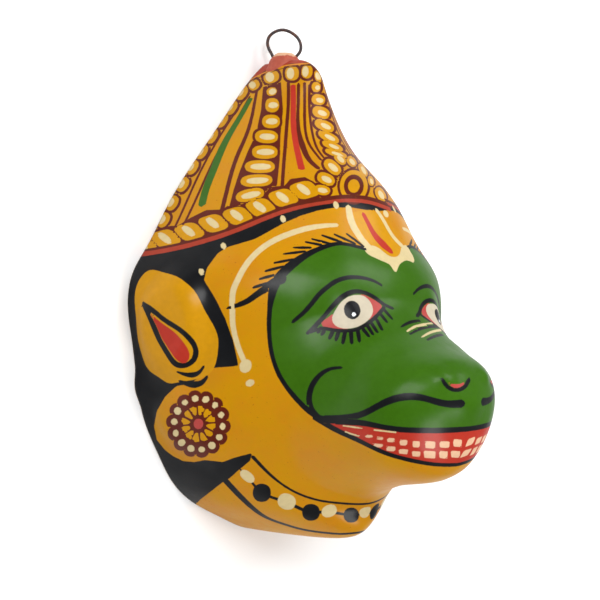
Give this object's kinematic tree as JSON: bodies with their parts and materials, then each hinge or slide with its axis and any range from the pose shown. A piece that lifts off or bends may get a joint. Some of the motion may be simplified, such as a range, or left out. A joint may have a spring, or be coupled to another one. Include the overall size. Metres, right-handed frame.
{
  "type": "jambavan mask",
  "caption": "Painted papier-mache animal-face wall mask with a broad snout and a tall crown, open hollow back and a wire loop to hang it by.",
  "frame": {"origin": "in the rim's plane, under the middle of the whole object's box, with the mask lying on its open back", "axes": "+X across the face, +Y from the neck to the crown and the wire loop, +Z out of the face"},
  "size_m": [0.1832, 0.2523, 0.1315],
  "materials": {
    "painted_papier_mache": "satin",
    "iron_wire": "satin"
  },
  "bodies": {
    "root": {"mask_shell": "painted_papier_mache", "hanging_ring": "iron_wire"}
  },
  "joints": []
}
